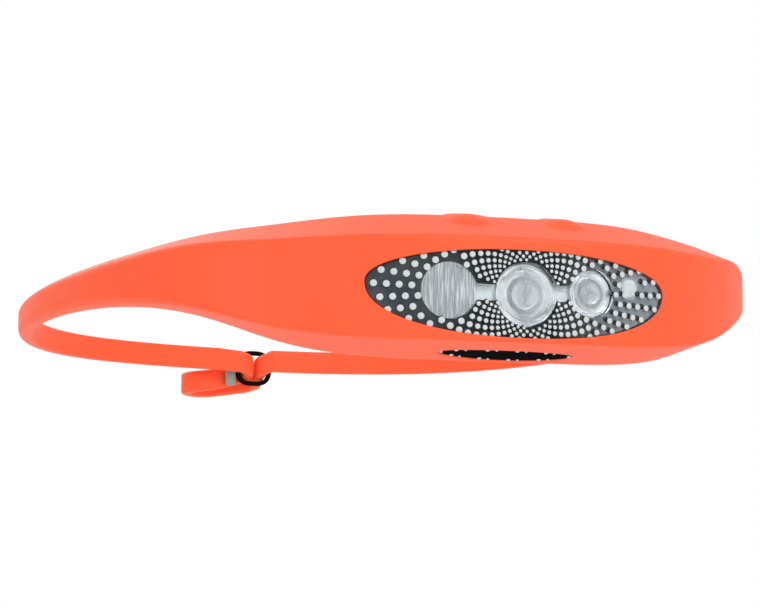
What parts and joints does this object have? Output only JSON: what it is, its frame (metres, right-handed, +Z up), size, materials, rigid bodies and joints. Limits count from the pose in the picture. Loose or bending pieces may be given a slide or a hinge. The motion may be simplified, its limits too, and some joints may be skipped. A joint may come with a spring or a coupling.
{
  "type": "headlamp",
  "caption": "Silicone-band headlamp: tapered one-piece band, pull-out light module with an oval dotted window, press pads on top, lower light slot and a folded rear strap with a ring.",
  "frame": {"origin": "centre of the head opening, at the height of the rings of band round it", "axes": "+Z up through the head opening, -Y the way the lamp shines, +X to the right of someone facing the lamp's window"},
  "size_m": [0.1882, 0.1894, 0.0375],
  "materials": {
    "silicone": "soft matte moulded silicone, bright orange",
    "ring_plastic": "smooth black moulded plastic",
    "grey_plastic": "smooth grey-green moulded plastic",
    "case_plastic": "fine-textured black polycarbonate",
    "gasket_rubber": "dark grey moulded rubber",
    "window_clear": "clear glossy polycarbonate",
    "lens_clear": "clear moulded acrylic",
    "smoked_lens": "glossy smoked polycarbonate with small raised pips",
    "backing_gloss": "dark grey glossy moulding",
    "led_phosphor": "yellow phosphor on a white carrier",
    "board_green": "green solder mask",
    "board_black": "black solder mask",
    "battery_foil": "laminated aluminium pouch",
    "foam_pad": "dark closed-cell foam",
    "lead_red": "red wire insulation",
    "lead_black": "black wire insulation",
    "switch_metal": "stamped steel switch cover",
    "plunger_rubber": "black moulded rubber",
    "contact_gold": "gold-plated contact"
  },
  "bodies": {
    "band": {"headband": "silicone", "adjuster_ring": "ring_plastic", "downlight_lens": "smoked_lens"},
    "power_button": {"power_pad": "silicone"},
    "mode_button": {"mode_pad": "silicone"},
    "wedge": {"locking_wedge": "grey_plastic"},
    "light_module": {"front_shell": "case_plastic", "rear_shell": "case_plastic", "shell_gasket": "gasket_rubber", "front_window": "window_clear", "backing_plate": "backing_gloss", "flood_lens": "lens_clear", "spot_lens": "lens_clear", "oval_lens": "lens_clear", "side_lens": "lens_clear", "flood_led": "led_phosphor", "spot_led": "led_phosphor", "oval_led": "led_phosphor", "side_led": "led_phosphor", "circuit_board": "board_green", "battery": "battery_foil", "battery_pad": "foam_pad", "positive_lead": "lead_red", "negative_lead": "lead_black", "switch_board": "board_green", "power_switch": "switch_metal", "mode_switch": "switch_metal", "usb_tongue": "board_black", "usb_contacts": "contact_gold", "usb_collar": "gasket_rubber", "downlight_window": "window_clear", "downlight_board": "board_green", "downlight_led_left": "led_phosphor", "downlight_led_right": "led_phosphor"},
    "power_pusher": {"power_plunger": "plunger_rubber"},
    "mode_pusher": {"mode_plunger": "plunger_rubber"}
  },
  "joints": [
    {"name": "module_pull_out", "type": "slide", "parent": "band", "child": "light_module", "axis": [0, 1, 0], "range_m": [0, 0.04]},
    {"name": "power_press", "type": "slide", "parent": "band", "child": "power_button", "axis": [0.0359, 0.4348, -0.8998], "range_m": [0, 0.00035], "stiffness_N_per_m": 3000},
    {"name": "mode_press", "type": "slide", "parent": "band", "child": "mode_button", "axis": [-0.0567, 0.4326, -0.8998], "range_m": [0, 0.00035], "stiffness_N_per_m": 3000},
    {"name": "power_plunger_travel", "type": "slide", "parent": "light_module", "child": "power_pusher", "axis": [0.0359, 0.4348, -0.8998], "range_m": [0, 0.00035]},
    {"name": "mode_plunger_travel", "type": "slide", "parent": "light_module", "child": "mode_pusher", "axis": [-0.0567, 0.4326, -0.8998], "range_m": [0, 0.00035]},
    {"name": "wedge_slide", "type": "slide", "parent": "band", "child": "wedge", "axis": [-1, 0, 0], "range_m": [0, 0.004]}
  ],
  "couplings": [
    {"joint": "power_plunger_travel", "follows": "power_press", "ratio": 1},
    {"joint": "mode_plunger_travel", "follows": "mode_press", "ratio": 1}
  ]
}
